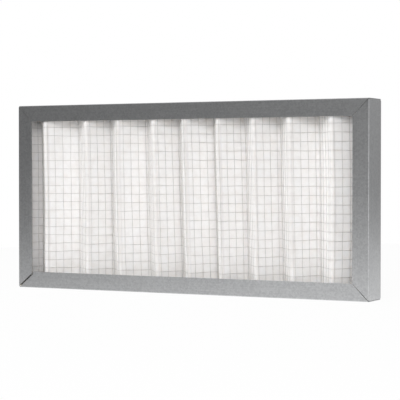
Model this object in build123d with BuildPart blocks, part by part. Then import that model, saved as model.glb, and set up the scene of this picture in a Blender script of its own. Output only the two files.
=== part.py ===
from build123d import *
import math
import os

# Cassette air filter: a galvanised channel frame round a pleated nonwoven pack, with
# a welded wire mesh over the front of the pleats. The frame stands on its lower web,
# in millimetres: X runs across, Y from the front to the back, and Z up.

# Channel frame
frame_width = 592
frame_height = 287
frame_depth = 48
flange_width = 25
sheet = 0.7
bend_radius = 1.2  # outside of each bend
relief = 1.0  # bare corner between a channel's bend and the tab beside it
tab_length = 20

# Mitres of the flanges: their open width, and how far up the frame's inner edge the
# cut reaches, which is the flange's width unless the notch was punched short. The two
# upper corners are also clipped across, where the bends of two rails would collide.
mitre_gap = {"top_left": 0.3, "top_right": 0.5, "bottom_right": 0.8, "bottom_left": 2.5}
short_notch = {"bottom_left": 4}
corner_clip = {"top_left": 2.6, "top_right": 2.6}

# Pleated pack
pleat_pitch = 59.06
media_thickness = 3.0
fold_radius = 2.0  # middle of the sheet
fold_flat = 1.6 * fold_radius  # between the two corners that each fold is drawn with
crest_depth = 3.2  # from the frame's front to the front of the crests
valley_depth = 1.5  # from the frame's back to the back of the valleys
end_inset = 2.2  # from a side web to the middle of the sheet's end

# How far each fold, from left to right, lies off its place in an even pack
fold_drift = [-13, -9, -3, 7, -1, 3.5, 5, 9, 3, 3.5, 3.5, 0.5]
fold_drift += [-4.5, -1, -6.5, -3.5, -4.5, 3, 6]

# Welded mesh
mesh_pitch = 13
wire = 0.6
mesh_clearance = 0.3
first_row = 2.5  # from the pack's lower edge to the middle of the lowest cross wire
first_line = 6.0  # from the sheet's left end to the first upright wire
clear_of_fold = 1.4  # least room between an upright wire's middle and a fold

# Adhesive that bonds the pack into the channels
bond_thickness = 2.5
bond_margin = 1.0  # bare web on each side of a bond
side_bond_depth = 14

half_width = frame_width / 2
half_depth = frame_depth / 2
web_face = half_width - sheet
flange_zone = bend_radius + relief  # how deep the mitre cuts go at each face
tab_width = frame_depth - 2 * flange_zone
pack_low = sheet + bond_thickness
pack_height = frame_height - 2 * pack_low


def front_view(depth=0):
    """A sketch plane as seen from the front; extruding by less than 0 goes back."""
    return Plane((0, depth, 0), x_dir=(1, 0, 0), z_dir=(0, -1, 0))


def extrude_channel(base, web_to_flange, length):
    """A channel with its web's outer face at base, along the frame's side."""
    along = Vector(0, 1, 0).cross(web_to_flange)
    with BuildSketch(Plane(base, x_dir=(0, 1, 0), z_dir=along)) as section:
        with BuildLine():
            FilletPolyline(
                (-half_depth, flange_width),
                (-half_depth, 0),
                (half_depth, 0),
                (half_depth, flange_width),
                radius=bend_radius,
            )
            offset(amount=sheet, side=Side.LEFT)
        make_face()
    extrude(section.sketch, amount=length / 2, both=True)


def cut_mitre(corner, is_side):
    """Cuts both flanges of a rail where the rail that it meets at a corner begins."""
    right = 1 if corner.endswith("right") else -1
    top = 1 if corner.startswith("top") else -1
    corner_height = frame_height if top > 0 else 0
    set_back = mitre_gap[corner] / math.sqrt(2)
    seam_height = flange_width - short_notch.get(corner, 0)
    slope = seam_height / flange_width
    beyond = 1  # how far the cut runs past the sheet
    if is_side:
        inwards = [
            (-beyond, -beyond),
            (-beyond, set_back - slope * beyond),
            (flange_width + beyond, set_back + slope * (flange_width + beyond)),
            (flange_width + beyond, -beyond),
        ]
    else:
        inwards = [
            (-beyond, -beyond),
            (set_back - beyond / slope, -beyond),
            (set_back + flange_width, seam_height),
            (set_back + flange_width, flange_width + beyond),
            (-beyond, flange_width + beyond),
        ]
    cuts = [inwards]
    if corner in corner_clip:
        leg = corner_clip[corner] + beyond
        cuts.append([(-beyond, -beyond), (-beyond, leg), (leg, -beyond)])
    for depth in (-half_depth, half_depth - flange_zone):
        with BuildSketch(front_view(depth)) as wedge:
            for cut in cuts:
                with BuildLine():
                    Polyline(
                        *[
                            (right * (half_width - across), corner_height - top * along)
                            for across, along in cut
                        ],
                        close=True,
                    )
                make_face()
        extrude(wedge.sketch, amount=-flange_zone, mode=Mode.SUBTRACT)


def level_rail(name, web_height, inwards):
    """The top or bottom rail, whose web runs the frame's full width."""
    with BuildPart() as rail:
        extrude_channel((0, 0, web_height), Vector(0, 0, inwards), frame_width)
        for end in ("left", "right"):
            cut_mitre(name + "_" + end, is_side=False)
    return rail


def side_rail(name, side):
    """A side rail, whose web folds over at both ends into tabs inside the level rails."""
    web = side * half_width
    trim = sheet + bend_radius
    with BuildPart() as rail:
        extrude_channel((web, 0, frame_height / 2), Vector(-side, 0, 0), frame_height)
        for end in ("top", "bottom"):
            cut_mitre(end + "_" + name, is_side=True)
        with BuildSketch(front_view(-half_depth)):
            ends = [(web, trim / 2), (web, frame_height - trim / 2)]
            with Locations(*ends):
                Rectangle(2 * bend_radius, trim)
        extrude(amount=-frame_depth, mode=Mode.SUBTRACT)
        with BuildSketch(front_view()):
            with BuildLine():
                FilletPolyline(
                    (side * (half_width - tab_length), frame_height - sheet),
                    (web, frame_height - sheet),
                    (web, sheet),
                    (side * (half_width - tab_length), sheet),
                    radius=bend_radius,
                )
                offset(amount=sheet, side=Side.RIGHT if side > 0 else Side.LEFT)
            make_face()
        extrude(amount=tab_width / 2, both=True)
    return rail


def zigzag():
    """Corner points of the sheet's middle in plan, two at the flat of each fold."""
    front = -half_depth + crest_depth + media_thickness / 2
    back = half_depth - valley_depth - media_thickness / 2
    folds = 2 * round(2 * web_face / pleat_pitch) - 1
    step = 2 * web_face / (folds + 1)
    points = [Vector(end_inset - web_face, front)]
    for fold in range(folds):
        drift = fold_drift[fold % len(fold_drift)]
        x = (fold + 1) * step - web_face + drift
        y = back if fold % 2 == 0 else front
        points += [Vector(x - fold_flat / 2, y), Vector(x + fold_flat / 2, y)]
    return points + [Vector(web_face - end_inset, front)]


def beside(points, distance):
    """The zigzag moved sideways, towards the back where distance is above 0."""
    sides = [
        (b - a).normalized().rotate(Axis.Z, 90) for a, b in zip(points, points[1:])
    ]
    moved = [points[0] + sides[0] * distance]
    for point, before, after in zip(points[1:-1], sides, sides[1:]):
        moved.append(point + (before + after) * (distance / (1 + before.dot(after))))
    return moved + [points[-1] + sides[-1] * distance]


def fold_radii(points, distance):
    """Radii of the folds on a surface beside the middle: crests open to the back."""
    radii = []
    for corner in range(1, len(points) - 1):
        at_valley = points[corner].Y > 0
        radii.append(fold_radius + (distance if at_valley else -distance))
    return radii


middle = zigzag()

# Frame
top_rail = level_rail("top", frame_height, -1)
bottom_rail = level_rail("bottom", 0, 1)
left_rail = side_rail("left", -1)
right_rail = side_rail("right", 1)

# Pleated sheet, one piece from side web to side web
with BuildPart() as filter_media:
    with BuildSketch(Plane.XY.offset(pack_low)):
        with BuildLine():
            surfaces = []
            for distance in (-media_thickness / 2, media_thickness / 2):
                corners = beside(middle, distance)
                FilletPolyline(*corners, radius=fold_radii(middle, distance))
                surfaces.append(corners)
            Line(surfaces[0][0], surfaces[1][0])
            Line(surfaces[0][-1], surfaces[1][-1])
        make_face()
    extrude(amount=pack_height)

# Cross wires of the mesh, bent to the pleats, in front of the sheet
mesh_back = media_thickness / 2 + mesh_clearance
rows = int((pack_height - 2 * first_row) / mesh_pitch) + 1
row_heights = [pack_low + first_row + row * mesh_pitch for row in range(rows)]
with BuildPart() as mesh_cross_wires:
    with BuildSketch(*[Plane.XY.offset(height - wire / 2) for height in row_heights]):
        with BuildLine():
            Polyline(
                *beside(middle, -mesh_back),
                *reversed(beside(middle, -mesh_back - wire)),
                close=True,
            )
        make_face()
    extrude(amount=wire)


def line_wire_places():
    """Place and turn of each upright wire, spaced along the front of the cross wires."""
    course = beside(middle, -mesh_back - wire)
    places = []
    due = first_line
    for start, end in zip(course, course[1:]):
        run = end - start
        while due < run.length:
            if run.length > 2 * clear_of_fold:
                along = min(max(due, clear_of_fold), run.length - clear_of_fold)
                way = run.normalized()
                middle_of_wire = start + way * along + way.rotate(Axis.Z, -90) * wire / 2
                turn = math.degrees(math.atan2(way.Y, way.X))
                places.append(Location((middle_of_wire.X, middle_of_wire.Y), turn))
                due += mesh_pitch
            else:
                due = run.length
        due -= run.length
    return places


# Upright wires of the mesh, welded to the front of the cross wires
with BuildPart() as mesh_line_wires:
    with BuildSketch(Plane.XY.offset(pack_low)):
        with Locations(*line_wire_places()):
            Rectangle(wire, wire)
    extrude(amount=pack_height)


def level_bond(web_height, inwards):
    """The adhesive along a level rail's web, recessed over the side rails' tabs."""
    with BuildPart() as bond:
        with BuildSketch(front_view()):
            with Locations((0, web_height + inwards * bond_thickness / 2)):
                Rectangle(2 * web_face, bond_thickness)
            recess = tab_length - sheet + bond_margin
            pockets = [
                (side * (web_face - recess / 2), web_height + inwards * bend_radius / 2)
                for side in (-1, 1)
            ]
            with Locations(*pockets):
                Rectangle(recess, bend_radius, mode=Mode.SUBTRACT)
        extrude(amount=half_depth - sheet - bond_margin, both=True)
        fillet(bond.edges().filter_by(Axis.Z).group_by(Axis.X)[0], bond_margin)
        fillet(bond.edges().filter_by(Axis.Z).group_by(Axis.X)[-1], bond_margin)
    return bond


def side_bond(side):
    """The bead in the wedge between a side web and the pack's end."""
    back_of_sheet = beside(middle, media_thickness / 2)
    end, fold = (back_of_sheet[0], back_of_sheet[1])
    if side > 0:
        end, fold = (back_of_sheet[-1], back_of_sheet[-2])
    way = (fold - end).normalized()
    deep = end + way * (side_bond_depth / way.Y)
    with BuildPart() as bond:
        with BuildSketch(Plane.XY.offset(pack_low)):
            with BuildLine():
                Polyline(
                    (side * web_face, end.Y),
                    (end.X, end.Y),
                    (deep.X, deep.Y),
                    (side * web_face, deep.Y),
                    close=True,
                )
            make_face()
        extrude(amount=pack_height)
    return bond


top_bond = level_bond(frame_height - sheet, -1)
bottom_bond = level_bond(sheet, 1)
left_bond = side_bond(-1)
right_bond = side_bond(1)

pieces = {
    "top_rail": top_rail,
    "bottom_rail": bottom_rail,
    "left_rail": left_rail,
    "right_rail": right_rail,
    "filter_media": filter_media,
    "mesh_cross_wires": mesh_cross_wires,
    "mesh_line_wires": mesh_line_wires,
    "top_bond": top_bond,
    "bottom_bond": bottom_bond,
    "left_bond": left_bond,
    "right_bond": right_bond,
}

os.makedirs("parts", exist_ok=True)
for name, piece in pieces.items():
    piece.part.label = name
    export_step(piece.part, "parts/" + name + ".step")
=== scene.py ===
import math

import bmesh
import bpy
from mathutils import Matrix, Vector, noise


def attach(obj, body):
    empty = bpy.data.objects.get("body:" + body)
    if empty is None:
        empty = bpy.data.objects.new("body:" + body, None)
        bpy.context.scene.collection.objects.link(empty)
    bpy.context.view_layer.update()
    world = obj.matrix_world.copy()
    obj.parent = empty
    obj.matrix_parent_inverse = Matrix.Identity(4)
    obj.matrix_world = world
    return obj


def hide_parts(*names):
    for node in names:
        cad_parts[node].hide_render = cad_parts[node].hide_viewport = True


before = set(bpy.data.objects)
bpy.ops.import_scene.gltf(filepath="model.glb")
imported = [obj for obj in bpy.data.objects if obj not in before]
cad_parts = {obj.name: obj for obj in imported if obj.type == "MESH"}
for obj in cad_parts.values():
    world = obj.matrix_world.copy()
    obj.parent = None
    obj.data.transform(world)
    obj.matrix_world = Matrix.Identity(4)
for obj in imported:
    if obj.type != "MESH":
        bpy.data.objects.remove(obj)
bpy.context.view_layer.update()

# Cassette air filter: a galvanised channel frame, a vertically pleated white nonwoven
# sheet and a welded wire mesh over the pleats. It stands on its lower web: X runs across,
# Y from front to back, Z up. Lengths in the dictionaries of its pieces are in mm.

mm = 0.001
print("frame loaded:", ", ".join(sorted(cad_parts)))


# A colour written as sRGB hex, as the linear numbers that a socket takes
def linear(hexColour):
    levels = [int(hexColour[i:i + 2], 16) / 255 for i in (1, 3, 5)]
    return [c / 12.92 if c <= 0.04045 else ((c + 0.055) / 1.055) ** 2.4 for c in levels] + [1]


# One shader node with its settings; an input is given a value or another node's output
def addNode(tree, kind, inputs=None, **settings):
    node = tree.nodes.new("ShaderNode" + kind)
    for name, value in settings.items():
        setattr(node, name, value)
    for name, value in (inputs or {}).items():
        if isinstance(value, bpy.types.NodeSocket):
            tree.links.new(value, node.inputs[name])
        else:
            node.inputs[name].default_value = value
    return node


# An empty material, its tree and its texture coordinates
def newMaterial(name):
    material = bpy.data.materials.new(name)
    material.use_nodes = True
    tree = material.node_tree
    tree.nodes.clear()
    return material, tree, addNode(tree, "TexCoord")


def finishMaterial(tree, shader):
    output = addNode(tree, "OutputMaterial")
    tree.links.new(shader.outputs[0], output.inputs["Surface"])


# Hot-dip galvanised sheet, skin-passed: a low-contrast spangle of zinc crystals a few
# millimetres wide, faint rolling streaks along the sheet, half-matt mirror
sheetFinish = {
    "darkZinc": (0.36, "#afb0b2"),  # where each colour stands on the scale of tones
    "zinc": (0.68, "#c1c2c3"),
    "paleZinc": (1.0, "#cfd0d1"),
    "spangleWidth": 2.4,
    "streakWidth": 1.6,
    "streakLength": 90,
    "grainWidth": 0.9,
    "cloudWidth": 38,
    "tone": 0.06,  # each crystal, streak and grain adds its share to the zinc's tone
    "crystalTone": 0.30,
    "streakTone": 0.50,
    "grainTone": 0.45,
    "roughness": 0.29,
    "cloudRoughness": 0.03,
    "crystalRoughness": 0.04,
    "grainRelief": 0.6,  # beside a streak's relief of 1
    "reliefStrength": 0.1,
    "reliefHeight": 0.06,
}


def makeGalvanisedSheet(name, lengthAxis):
    look = sheetFinish
    material, tree, coords = newMaterial(name)
    place = coords.outputs["Object"]
    spangle = addNode(tree, "TexVoronoi", {
        "Vector": place, "Scale": 1 / (look["spangleWidth"] * mm), "Randomness": 1,
    })
    crystal = addNode(tree, "SeparateColor", {"Color": spangle.outputs["Color"]})
    stretch = [1 / (look["streakWidth"] * mm)] * 3
    stretch[lengthAxis] = 1 / (look["streakLength"] * mm)
    along = addNode(tree, "Mapping", {"Vector": place, "Scale": stretch})
    streaks = addNode(tree, "TexNoise", {
        "Vector": along.outputs["Vector"], "Scale": 1, "Detail": 3, "Roughness": 0.6,
    })
    clouds = addNode(tree, "TexNoise", {
        "Vector": place, "Scale": 1 / (look["cloudWidth"] * mm), "Detail": 2,
    })
    grain = addNode(tree, "TexNoise", {
        "Vector": place, "Scale": 1 / (look["grainWidth"] * mm), "Detail": 2, "Roughness": 0.6,
    })
    tone = look["tone"]
    for pattern, share in (
        (crystal.outputs["Red"], look["crystalTone"]),
        (streaks.outputs["Fac"], look["streakTone"]),
        (grain.outputs["Fac"], look["grainTone"]),
    ):
        tone = addNode(tree, "Math", {
            0: pattern, 1: share, 2: tone,
        }, operation="MULTIPLY_ADD").outputs[0]
    colour = addNode(tree, "ValToRGB", {"Fac": tone})
    stops = colour.color_ramp.elements
    stops[0].position, stops[0].color = look["darkZinc"][0], linear(look["darkZinc"][1])
    stops[1].position, stops[1].color = look["paleZinc"][0], linear(look["paleZinc"][1])
    stops.new(look["zinc"][0]).color = linear(look["zinc"][1])
    rough = addNode(tree, "MapRange", {
        "Value": clouds.outputs["Fac"], "From Min": 0.3, "From Max": 0.7,
        "To Min": look["roughness"], "To Max": look["roughness"] + look["cloudRoughness"],
    })
    rough = addNode(tree, "Math", {
        0: crystal.outputs["Green"], 1: look["crystalRoughness"], 2: rough.outputs["Result"],
    }, operation="MULTIPLY_ADD")
    relief = addNode(tree, "Math", {
        0: grain.outputs["Fac"], 1: look["grainRelief"], 2: streaks.outputs["Fac"],
    }, operation="MULTIPLY_ADD")
    bump = addNode(tree, "Bump", {
        "Height": relief.outputs[0], "Strength": look["reliefStrength"],
        "Distance": look["reliefHeight"] * mm,
    })
    shader = addNode(tree, "BsdfPrincipled", {
        "Base Color": colour.outputs["Color"], "Metallic": 1,
        "Roughness": rough.outputs[0], "Normal": bump.outputs["Normal"],
    })
    finishMaterial(tree, shader)
    return material


# Hot-dip galvanised wire: the same zinc, drawn thin, duller, with small drips of tone
wireFinish = {
    "dark": "#c2c0bd",
    "pale": "#d6d4d1",
    "dripLength": 6,
    "roughness": (0.34, 0.5),
    "metallic": 0.35,  # its dull skin mirrors little
}


def makeGalvanisedWire():
    look = wireFinish
    material, tree, coords = newMaterial("galvanisedWire")
    drips = addNode(tree, "TexNoise", {
        "Vector": coords.outputs["Object"], "Scale": 1 / (look["dripLength"] * mm), "Detail": 3,
    })
    colour = addNode(tree, "ValToRGB", {"Fac": drips.outputs["Fac"]})
    stops = colour.color_ramp.elements
    stops[0].position, stops[0].color = 0.3, linear(look["dark"])
    stops[1].position, stops[1].color = 0.7, linear(look["pale"])
    rough = addNode(tree, "MapRange", {
        "Value": drips.outputs["Fac"],
        "To Min": look["roughness"][0], "To Max": look["roughness"][1],
    })
    shader = addNode(tree, "BsdfPrincipled", {
        "Base Color": colour.outputs["Color"], "Metallic": look["metallic"],
        "Roughness": rough.outputs["Result"],
    })
    finishMaterial(tree, shader)
    return material


# Needled polyester nonwoven: matt white felt of crossing fibres, a little cloudy where
# the web was laid thicker, with a soft fuzzy face
mediaFinish = {
    "thin": (0.62, "#f3f0ee"),
    "white": (0.95, "#faf8f7"),
    "cloudWidth": 14,
    "tuftWidth": 2.2,
    "fibreWidth": 0.35,  # real fibres are 0.03 mm; drawn this coarse so that they show
    "fibreLength": 9,
    "fibreWays": (12, 75, 141),  # degrees across the flat sheet
    "fibreShare": 0.45,
    "napShare": 0.30,
    "reliefStrength": 0.35,
    "reliefHeight": 0.35,
    "crestShadeScale": 0.82,
    "crestShadeFrom": -20.7,  # depths at a crest's face and where its painted shade ends
    "crestShadeTo": -17,
    # painted shade in the felt's corners hidden behind the flanges: how much darker, and where
    # it begins
    "cornerShade": 0.7,
    "cornerShadeFrom": (266, 120),  # from the pack's middle, across and up or down
    "cornerShadeFade": 4,
    "middle": 143.5,
    "sheen": 0.12,
    "scatter": 0.6,
    "scatterDepth": 4,
}


def makeNonwoven():
    look = mediaFinish
    material, tree, coords = newMaterial("polyesterNonwoven")
    flat = coords.outputs["UV"]  # in metres on the flat sheet
    clouds = addNode(tree, "TexNoise", {
        "Vector": flat, "Scale": 1 / (look["cloudWidth"] * mm), "Detail": 4, "Roughness": 0.6,
    })
    tufts = addNode(tree, "TexNoise", {
        "Vector": flat, "Scale": 1 / (look["tuftWidth"] * mm), "Detail": 3, "Roughness": 0.65,
        "Distortion": 0.6,
    })
    nap = tufts.outputs["Fac"]
    for degrees in look["fibreWays"]:
        lay = addNode(tree, "Mapping", {
            "Vector": flat, "Rotation": (0, 0, math.radians(degrees)),
        })
        pull = addNode(tree, "Mapping", {
            "Vector": lay.outputs["Vector"],
            "Scale": (1 / (look["fibreLength"] * mm), 1 / (look["fibreWidth"] * mm), 1),
        })
        fibres = addNode(tree, "TexNoise", {
            "Vector": pull.outputs["Vector"], "Scale": 1, "Detail": 1, "Distortion": 0.5,
        })
        nap = addNode(tree, "Math", {
            0: fibres.outputs["Fac"], 1: look["fibreShare"], 2: nap,
        }, operation="MULTIPLY_ADD").outputs[0]
    cloudy = addNode(tree, "Math", {
        0: nap, 1: look["napShare"], 2: clouds.outputs["Fac"],
    }, operation="MULTIPLY_ADD")
    colour = addNode(tree, "ValToRGB", {"Fac": cloudy.outputs[0]})
    stops = colour.color_ramp.elements
    stops[0].position, stops[0].color = look["thin"][0], linear(look["thin"][1])
    stops[1].position, stops[1].color = look["white"][0], linear(look["white"][1])
    # painted shade: over each crest's face the felt is darkened, since the crest catches more
    # light than the flanks beside it
    place = addNode(tree, "SeparateXYZ", {"Vector": coords.outputs["Object"]})
    crestShade = addNode(tree, "MapRange", {
        "Value": place.outputs["Y"],
        "From Min": look["crestShadeFrom"] * mm, "From Max": look["crestShadeTo"] * mm,
        "To Min": look["crestShadeScale"], "To Max": 1,
    })
    # painted shade: the corners, hidden behind the flanges, are darkened where the channels
    # shade them
    aside = addNode(tree, "Math", {0: place.outputs["X"]}, operation="ABSOLUTE")
    height = addNode(tree, "Math", {
        0: place.outputs["Z"], 1: look["middle"] * mm,
    }, operation="SUBTRACT")
    height = addNode(tree, "Math", {0: height.outputs[0]}, operation="ABSOLUTE")
    cornerShade = look["cornerShade"]
    for distance, start in zip((aside, height), look["cornerShadeFrom"]):
        corner = addNode(tree, "MapRange", {
            "Value": distance.outputs[0], "From Min": start * mm,
            "From Max": (start + look["cornerShadeFade"]) * mm,
        })
        cornerShade = addNode(tree, "Math", {
            0: corner.outputs["Result"], 1: cornerShade,
        }, operation="MULTIPLY").outputs[0]
    cornerShadeScale = addNode(tree, "Math", {0: 1, 1: cornerShade}, operation="SUBTRACT")
    shade = addNode(tree, "Math", {
        0: crestShade.outputs["Result"], 1: cornerShadeScale.outputs[0],
    }, operation="MULTIPLY")
    colour = addNode(tree, "VectorMath", {
        0: colour.outputs["Color"], "Scale": shade.outputs[0],
    }, operation="SCALE")
    bump = addNode(tree, "Bump", {
        "Height": nap, "Strength": look["reliefStrength"],
        "Distance": look["reliefHeight"] * mm,
    })
    shader = addNode(tree, "BsdfPrincipled", {
        "Base Color": colour.outputs["Vector"], "Roughness": 0.92,
        "Specular IOR Level": 0.2, "Sheen Weight": look["sheen"], "Sheen Roughness": 0.5,
        "Subsurface Weight": look["scatter"], "Subsurface Radius": (1, 0.95, 0.9),
        "Subsurface Scale": look["scatterDepth"] * mm,
        "Normal": bump.outputs["Normal"],
    })
    finishMaterial(tree, shader)
    return material


# Polyurethane hot melt: ivory, glossy where it ran smooth, with slow waves
meltFinish = {
    "dark": "#ddd5c2",
    "pale": "#ece7da",
    "waveWidth": 9,
    "roughness": (0.28, 0.48),
    "reliefStrength": 0.5,
    "reliefHeight": 0.8,
}


def makeHotMelt():
    look = meltFinish
    material, tree, coords = newMaterial("polyurethaneHotMelt")
    waves = addNode(tree, "TexNoise", {
        "Vector": coords.outputs["Object"], "Scale": 1 / (look["waveWidth"] * mm), "Detail": 2,
    })
    colour = addNode(tree, "ValToRGB", {"Fac": waves.outputs["Fac"]})
    stops = colour.color_ramp.elements
    stops[0].position, stops[0].color = 0.3, linear(look["dark"])
    stops[1].position, stops[1].color = 0.7, linear(look["pale"])
    rough = addNode(tree, "MapRange", {
        "Value": waves.outputs["Fac"],
        "To Min": look["roughness"][0], "To Max": look["roughness"][1],
    })
    bump = addNode(tree, "Bump", {
        "Height": waves.outputs["Fac"], "Strength": look["reliefStrength"],
        "Distance": look["reliefHeight"] * mm,
    })
    shader = addNode(tree, "BsdfPrincipled", {
        "Base Color": colour.outputs["Color"], "Roughness": rough.outputs["Result"],
        "IOR": 1.5, "Normal": bump.outputs["Normal"],
    })
    finishMaterial(tree, shader)
    return material


levelSheet = makeGalvanisedSheet("galvanisedSheetLevel", 0)
uprightSheet = makeGalvanisedSheet("galvanisedSheetUpright", 2)
wireZinc = makeGalvanisedWire()
nonwoven = makeNonwoven()
hotMelt = makeHotMelt()
finishes = {
    "top_rail": levelSheet,
    "bottom_rail": levelSheet,
    "left_rail": uprightSheet,
    "right_rail": uprightSheet,
    "top_bond": hotMelt,
    "bottom_bond": hotMelt,
    "left_bond": hotMelt,
    "right_bond": hotMelt,
}
for cadName, finish in finishes.items():
    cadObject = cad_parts[cadName]
    cadObject.data.materials.clear()
    cadObject.data.materials.append(finish)
print("rails and bonds finished")

# The pleated sheet's middle in plan: nineteen folds, valleys and crests by turns
pleats = {
    "pitch": 59.06,
    "webFace": 295.3,  # inner face of the side webs, from the middle
    "endInset": 2.2,
    "crestY": -19.3,
    "valleyY": 21.0,
    "foldFlat": 3.2,
    "foldRadius": 2.0,
    "leastRadius": 0.7,
    "thickness": 3.0,
    "low": 3.2,
    "high": 283.8,
    # how far each fold, from left to right, lies off its place in an even pack
    "drift": [-13, -9, -3, 7, -1, 3.5, 5, 9, 3, 3.5, 3.5, 0.5,
              -4.5, -1, -6.5, -3.5, -4.5, 3, 6],
    # how far each crest's foot stands to the right of its middle, and how far its two
    # ends lie left of the straight line through its middle
    "crestLean": [1.5, 1.6, 3.2, 4.2, 4.8, 4.1, 3.4, 3.3, 0.9],
    "crestBow": [1.5, 2, -1.2, 0, 0, 0, 0, 0, 2.2],
    "sway": 0.6,  # each fold's own bends
    "swayLength": 75,
    "swayPlace": (3.7, 4.2),  # in the noise: the step from fold to fold, and the layer
    "swell": 0.7,  # the felt is never quite flat
    "swellWidth": 17,
    "swellHeight": 65,
    "levels": 57,
    "arcSteps": 4,
    "flankSteps": 6,
}


# A crest's own value, or the mean of its neighbours' for a valley
def foldValue(key, fold):
    crests = pleats[key]
    return (crests[max(0, (fold - 1) // 2)] + crests[min(fold // 2, len(crests) - 1)]) / 2


# How far a fold lies from its straight upright place at a height
def foldSway(fold, z):
    halfHeight = (pleats["high"] - pleats["low"]) / 2
    fromMiddle = (z - pleats["low"] - halfHeight) / halfHeight
    foldStep, layer = pleats["swayPlace"]
    bend = noise.noise(Vector((fold * foldStep, z / pleats["swayLength"], layer)))
    lean = foldValue("crestLean", fold) * fromMiddle
    bow = foldValue("crestBow", fold) * fromMiddle ** 2
    return pleats["sway"] * bend - lean - bow


# Corners of the middle line at a height, two at each fold; no height gives them straight
def foldCorners(z=None):
    width = 2 * pleats["webFace"]
    folds = 2 * round(width / pleats["pitch"]) - 1
    step = width / (folds + 1)
    halfFlat = pleats["foldFlat"] / 2
    corners = [Vector((pleats["endInset"] - pleats["webFace"], pleats["crestY"]))]
    for fold in range(folds):
        x = (fold + 1) * step - pleats["webFace"] + pleats["drift"][fold]
        if z is not None:
            x += foldSway(fold, z)
        y = pleats["valleyY"] if fold % 2 == 0 else pleats["crestY"]
        corners += [Vector((x - halfFlat, y)), Vector((x + halfFlat, y))]
    corners.append(Vector((pleats["webFace"] - pleats["endInset"], pleats["crestY"])))
    return corners


# The line moved sideways, towards the front where the distance is above 0
def beside(corners, distance):
    ways = [(b - a).normalized() for a, b in zip(corners, corners[1:])]
    sides = [Vector((way.y, -way.x)) for way in ways]
    moved = [corners[0] + sides[0] * distance]
    for corner, before, after in zip(corners[1:-1], sides, sides[1:]):
        moved.append(corner + (before + after) * (distance / (1 + before.dot(after))))
    return moved + [corners[-1] + sides[-1] * distance]


# The line with round corners: crests widen and valleys tighten with the distance
def roundLine(corners, distance, arcSteps, flankSteps):
    line = beside(corners, distance)
    points = [line[0]]
    for i in range(1, len(line) - 1):
        before = (line[i] - line[i - 1]).normalized()
        after = (line[i + 1] - line[i]).normalized()
        widening = -distance if corners[i].y > 0 else distance
        radius = max(pleats["foldRadius"] + widening, pleats["leastRadius"])
        turn = math.atan2(before.x * after.y - before.y * after.x, before.dot(after))
        cut = radius * math.tan(abs(turn) / 2)
        start = line[i] - before * cut
        toCentre = Vector((-before.y, before.x)) * math.copysign(radius, turn)
        if i % 2:  # a flank leads up to the first corner of each fold
            last = points[-1]
            points += [last.lerp(start, k / flankSteps) for k in range(1, flankSteps)]
        for k in range(arcSteps + 1):
            spoke = -toCentre
            spoke.rotate(Matrix.Rotation(turn * k / arcSteps, 2))
            points.append(start + toCentre + spoke)
    last = points[-1]
    return points + [last.lerp(line[-1], k / flankSteps) for k in range(1, flankSteps + 1)]


# How far each point of a line lies along it
def pathLengths(points):
    lengths = [0]
    for a, b in zip(points, points[1:]):
        lengths.append(lengths[-1] + (b - a).length)
    return lengths


# A new piece from its mesh, riding on the frame
def addPiece(name, mesh, material, replaced):
    piece = bpy.data.objects.new(name, mesh)
    bpy.context.scene.collection.objects.link(piece)
    mesh.materials.clear()
    mesh.materials.append(material)
    mesh.polygons.foreach_set("use_smooth", [True] * len(mesh.polygons))
    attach(piece, "root")
    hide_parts(replaced)
    return piece


# Pleated sheet: a grid laid along the folded line, level by level
def makeSheet():
    steps = (pleats["arcSteps"], pleats["flankSteps"])
    flatLengths = pathLengths(roundLine(foldCorners(), 0, *steps))
    columns = len(flatLengths)
    levels = pleats["levels"]
    height = pleats["high"] - pleats["low"]
    lines = []
    for level in range(levels):
        z = pleats["low"] + height * level / (levels - 1)
        lines.append((z, roundLine(foldCorners(z), 0, *steps)))
    bm = bmesh.new()
    # the grid starts as a square of 1 about the origin, so a place in it gives its cell
    grid = bmesh.ops.create_grid(bm, x_segments=columns - 1, y_segments=levels - 1, size=0.5)
    flatMap = bm.loops.layers.uv.new("flatSheet")
    for vert in grid["verts"]:
        column = round((vert.co.x + 0.5) * (columns - 1))
        z, line = lines[round((vert.co.y + 0.5) * (levels - 1))]
        for loop in vert.link_loops:
            loop[flatMap].uv = (flatLengths[column] * mm, z * mm)
        vert.co = Vector((line[column].x, line[column].y, z)) * mm
    bm.normal_update()
    width, rise = pleats["swellWidth"], pleats["swellHeight"]
    for vert in bm.verts:
        place = Vector((vert.co.x / width, vert.co.y / width, vert.co.z / rise)) / mm
        vert.co += vert.normal * noise.noise(place) * pleats["swell"] * mm
    mesh = bpy.data.meshes.new("filterMedia")
    bm.to_mesh(mesh)
    bm.free()
    sheet = addPiece("filterMedia", mesh, nonwoven, "filter_media")
    thicken = sheet.modifiers.new("thickness", "SOLIDIFY")
    thicken.thickness = pleats["thickness"] * mm
    thicken.offset = 0
    thicken.use_even_offset = True


# Welded mesh: cross wires against the felt, upright wires welded to their front
wireMesh = {
    "pitch": 13,
    "wire": 0.6,
    "clearance": 0.3,
    "firstRow": 2.5,
    "firstLine": 6.0,
    "clearOfFold": 1.4,
    "weldDepth": 0.1,  # how far the wires sink into each other at a crossing
    "arcSteps": 3,
    "flankSteps": 4,
    "levels": 29,
    "rowSway": 0.8,
    "rowSwayLength": 30,
    "rowSwayPlace": (5.1, 9),  # in the noise: the step from wire to wire, and the layer
    "lineSway": 0.8,
    "lineSwayLength": 36,
    "lineSwayPlace": (2.3, 17),
}


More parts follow.
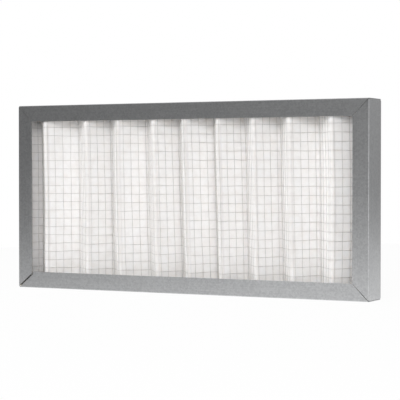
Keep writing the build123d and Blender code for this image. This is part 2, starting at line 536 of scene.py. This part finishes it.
# Round wires along lines of points in mm, as one mesh
def makeWires(name, lines, replaced):
    curve = bpy.data.curves.new(name, "CURVE")
    curve.dimensions = "3D"
    curve.bevel_depth = wireMesh["wire"] / 2 * mm
    curve.bevel_resolution = 1
    curve.use_fill_caps = True
    for line in lines:
        spline = curve.splines.new("POLY")
        spline.points.add(len(line) - 1)
        for point, place in zip(spline.points, line):
            point.co = (*(place * mm), 1)
    drawn = bpy.data.objects.new(name, curve)
    wires = bpy.data.meshes.new_from_object(drawn)
    bpy.data.objects.remove(drawn)
    wires.name = name
    addPiece(name, wires, wireZinc, replaced)
    print("%s: %d wires, %d faces" % (name, len(lines), len(wires.polygons)))


def makeCrossWires():
    offset = pleats["thickness"] / 2 + wireMesh["clearance"] + wireMesh["wire"] / 2
    height = pleats["high"] - pleats["low"]
    rows = int((height - 2 * wireMesh["firstRow"]) / wireMesh["pitch"]) + 1
    rowStep, layer = wireMesh["rowSwayPlace"]
    lines = []
    for row in range(rows):
        z = pleats["low"] + wireMesh["firstRow"] + row * wireMesh["pitch"]
        plan = roundLine(foldCorners(z), offset, wireMesh["arcSteps"], wireMesh["flankSteps"])
        line = []
        for point, along in zip(plan, pathLengths(plan)):
            place = Vector((along / wireMesh["rowSwayLength"], row * rowStep, layer))
            sway = wireMesh["rowSway"] * noise.noise(place)
            line.append(Vector((point.x, point.y, z + sway)))
        lines.append(line)
    makeWires("meshCrossWires", lines, "mesh_cross_wires")


# Where each upright wire lies: the run between two corners, and how far along it
def linePlaces():
    crossWireFace = pleats["thickness"] / 2 + wireMesh["clearance"] + wireMesh["wire"]
    course = beside(foldCorners(), crossWireFace)
    clear = wireMesh["clearOfFold"]
    places = []
    due = wireMesh["firstLine"]
    for run, (start, end) in enumerate(zip(course, course[1:])):
        length = (end - start).length
        while due < length:
            if length > 2 * clear:
                places.append((run, min(max(due, clear), length - clear) / length))
                due += wireMesh["pitch"]
            else:
                due = length
        due -= length
    return places


# The place on a line that is closest to a point
def closestOn(line, point):
    best = None
    for a, b in zip(line, line[1:]):
        run = b - a
        part = min(max((point - a).dot(run) / run.length_squared, 0), 1)
        spot = a + run * part
        gap = (spot - point).length
        if best is None or gap < best[0]:
            best = (gap, spot)
    return best[1]


def makeLineWires():
    crossWireFace = pleats["thickness"] / 2 + wireMesh["clearance"] + wireMesh["wire"]
    offset = crossWireFace + wireMesh["wire"] / 2 - wireMesh["weldDepth"]
    places = linePlaces()
    lines = [[] for place in places]
    height = pleats["high"] - pleats["low"]
    lineStep, layer = wireMesh["lineSwayPlace"]
    perCorner = wireMesh["arcSteps"] + 1  # points of the round line at each corner
    reach = 2  # corners beyond a run's own in which its wire is looked for
    for level in range(wireMesh["levels"]):
        z = pleats["low"] + height * level / (wireMesh["levels"] - 1)
        corners = foldCorners(z)
        course = beside(corners, offset)
        plan = roundLine(corners, offset, wireMesh["arcSteps"], 1)
        for index, (run, part) in enumerate(places):
            start, end = course[run], course[run + 1]
            place = Vector((index * lineStep, z / wireMesh["lineSwayLength"], layer))
            sway = wireMesh["lineSway"] * noise.noise(place)
            spot = start.lerp(end, part) + (end - start).normalized() * sway
            first = max(0, (run - 1 - reach) * perCorner)
            near = plan[first:(run + 1 + reach) * perCorner + 1]
            spot = closestOn(near, spot)
            lines[index].append(Vector((spot.x, spot.y, z)))
    makeWires("meshLineWires", lines, "mesh_line_wires")


makeSheet()
makeCrossWires()
makeLineWires()

# Studio, in metres: a white table in a dimmer room. The flanges mirror the room at eye
# level and the table below, so they darken upwards.
studio = {
    "roomLevel": 0.48,
    "tableRadius": 1.4,
    "tableCentre": (0.2, 0.25),
    "tableColour": "#f2f2f2",
    "evenWhite": 0.96,  # its share in what the camera and mirrors see of the table
    "backdropWay": (-0.462, 0.887, 0),  # from the camera past the filter
    "backdropEdge": (0.93, 0.97),
    "aim": (0, 0, 0.14),
    "keyPlace": (1.06, -2.37, 0.88),  # low, so that the top flange shades little
    "keySize": (1.8, 1.2),
    "keyPower": 33.5,
    # from the left, into the flanks that face it and onto the felt left of each crest
    "fillPlace": (-1.77, -1.77, 1.1),
    "fillSize": (1.4, 1.4),
    "fillPower": 27,
}

# What a mirror sees of the table: the axis, from where to where, and the two levels.
# It pales from the left, where the room is darkest, to the right.
tableMirror = {
    "across": ("X", (-0.36, 0.16), (0.80, 1.18)),
    "near": ("Y", (-0.8, -0.25), (0.9, 1)),
    "beyond": ("Y", (-0.1, 0.1), (1, 0.8)),
}

# What a mirror sees of the room, by direction, in the same way
roomMirror = {
    # eye level is darkest to the front left and paler towards the right
    "eyeLevel": ("X", (-0.62, -0.25), (0.164, 0.377), "SMOOTHSTEP"),
    "overhead": ("Z", (0.15, 0.8), (0, 0.41), "LINEAR"),
    # the paler side of the room at the front right, which the right arris mirrors
    "window": ("X", (0, 0.5), (0, 0.72), "SMOOTHSTEP"),
    "front": ("Y", (-0.5, 0), (1, 0), "SMOOTHSTEP"),
    # the right web mirrors the wall behind the filter, which pales upwards
    "wall": ("Z", (-0.06, 0.1), (-0.08, 0.17), "SMOOTHSTEP"),
    "behind": ("Y", (0.55, 0.8), (0, 1), "SMOOTHSTEP"),
}


# A level of 1 where a ray comes from the camera, through something clear or off a mirror;
# off a mirror it can be made a lower one
def seesBackground(tree, mirrorLevel=1):
    path = addNode(tree, "LightPath")
    mirrored = addNode(tree, "Math", {
        0: path.outputs["Is Glossy Ray"], 1: mirrorLevel,
    }, operation="MULTIPLY")
    seen = addNode(tree, "Math", {
        0: path.outputs["Is Camera Ray"], 1: path.outputs["Is Transmission Ray"],
    }, operation="MAXIMUM")
    return addNode(tree, "Math", {
        0: seen.outputs[0], 1: mirrored.outputs[0],
    }, operation="MAXIMUM").outputs[0]


def makeTable():
    bm = bmesh.new()
    centre = Matrix.Translation((*studio["tableCentre"], 0))
    bmesh.ops.create_circle(bm, cap_ends=True, segments=96, radius=studio["tableRadius"],
                            matrix=centre)
    top = bpy.data.meshes.new("table")
    bm.to_mesh(top)
    bm.free()
    table = bpy.data.objects.new("table", top)
    bpy.context.scene.collection.objects.link(table)
    material, tree, coords = newMaterial("whiteTable")
    place = addNode(tree, "SeparateXYZ", {"Vector": coords.outputs["Object"]})
    mirrored = 1
    for axis, span, levels in tableMirror.values():
        ramp = addNode(tree, "MapRange", {
            "Value": place.outputs[axis], "From Min": span[0], "From Max": span[1],
            "To Min": levels[0], "To Max": levels[1],
        })
        mirrored = addNode(tree, "Math", {
            0: ramp.outputs["Result"], 1: mirrored,
        }, operation="MULTIPLY").outputs[0]
    path = addNode(tree, "LightPath")
    strength = addNode(tree, "Mix", {
        "Factor": path.outputs["Is Glossy Ray"], "A": 1, "B": mirrored,
    })
    matt = addNode(tree, "BsdfDiffuse", {"Color": linear(studio["tableColour"])})
    white = addNode(tree, "Emission", {
        "Color": linear("#ffffff"), "Strength": strength.outputs["Result"],
    })
    part = addNode(tree, "Math", {
        0: seesBackground(tree), 1: studio["evenWhite"],
    }, operation="MULTIPLY")
    mixed = addNode(tree, "MixShader", {
        0: part.outputs[0], 1: matt.outputs[0], 2: white.outputs[0],
    })
    finishMaterial(tree, mixed)
    top.materials.append(material)


def makeRoom():
    world = bpy.data.worlds.new("studio")
    bpy.context.scene.world = world
    world.use_nodes = True
    tree = world.node_tree
    tree.nodes.clear()
    coords = addNode(tree, "TexCoord")
    way = addNode(tree, "SeparateXYZ", {"Vector": coords.outputs["Generated"]})
    ramps = {}
    for name, (axis, span, levels, easing) in roomMirror.items():
        ramps[name] = addNode(tree, "MapRange", {
            "Value": way.outputs[axis], "From Min": span[0], "From Max": span[1],
            "To Min": levels[0], "To Max": levels[1],
        }, interpolation_type=easing).outputs["Result"]
    mirrored = addNode(tree, "Math", {
        0: ramps["eyeLevel"], 1: ramps["overhead"],
    }, operation="ADD").outputs[0]
    for level, where in (("window", "front"), ("wall", "behind")):
        mirrored = addNode(tree, "Math", {
            0: ramps[level], 1: ramps[where], 2: mirrored,
        }, operation="MULTIPLY_ADD").outputs[0]
    path = addNode(tree, "LightPath")
    strength = addNode(tree, "Mix", {
        "Factor": path.outputs["Is Glossy Ray"], "A": studio["roomLevel"], "B": mirrored,
    })
    # the white backdrop stands behind the filter, seen by mirrors only where it is
    across = addNode(tree, "VectorMath", {
        0: coords.outputs["Generated"], 1: studio["backdropWay"],
    }, operation="DOT_PRODUCT")
    backdrop = addNode(tree, "MapRange", {
        "Value": across.outputs["Value"],
        "From Min": studio["backdropEdge"][0], "From Max": studio["backdropEdge"][1],
    })
    dim = addNode(tree, "Background", {
        "Color": linear("#ffffff"), "Strength": strength.outputs["Result"],
    })
    white = addNode(tree, "Background", {"Color": linear("#ffffff"), "Strength": 1})
    mixed = addNode(tree, "MixShader", {
        0: seesBackground(tree, backdrop.outputs["Result"]),
        1: dim.outputs[0], 2: white.outputs[0],
    })
    output = addNode(tree, "OutputWorld")
    tree.links.new(mixed.outputs[0], output.inputs["Surface"])


def addLamp(name):
    light = bpy.data.lights.new(name, "AREA")
    light.shape = "RECTANGLE"
    light.size, light.size_y = studio[name + "Size"]
    light.energy = studio[name + "Power"]
    lamp = bpy.data.objects.new(name, light)
    bpy.context.scene.collection.objects.link(lamp)
    lamp.location = studio[name + "Place"]
    towards = Vector(studio["aim"]) - Vector(studio[name + "Place"])
    lamp.rotation_mode = "QUATERNION"
    lamp.rotation_quaternion = towards.to_track_quat("-Z", "Y")
    lamp.visible_glossy = False  # the room's own levels are what the steel mirrors


makeTable()
makeRoom()
addLamp("key")
addLamp("fill")
print("table, room and lamps placed")

# Camera: to the right of the filter's front, a little above its middle
view = {
    "place": (1.0459, -1.9758, 0.1849),
    "forward": (-0.4621, 0.8866, -0.0199),
    "right": (0.8868, 0.4622, 0),
    "lens": 133.3,
    "sensor": 36,
}
cameraData = bpy.data.cameras.new("camera")
cameraData.lens = view["lens"]
cameraData.sensor_width = view["sensor"]
camera = bpy.data.objects.new("camera", cameraData)
bpy.context.scene.collection.objects.link(camera)
forward = Vector(view["forward"]).normalized()
right = Vector(view["right"])
right = (right - forward * right.dot(forward)).normalized()
up = right.cross(forward)
turn = Matrix((right, up, -forward)).transposed()
camera.matrix_world = Matrix.Translation(view["place"]) @ turn.to_4x4()
bpy.context.scene.camera = camera
bpy.context.scene.view_settings.view_transform = "Standard"
print("camera placed")
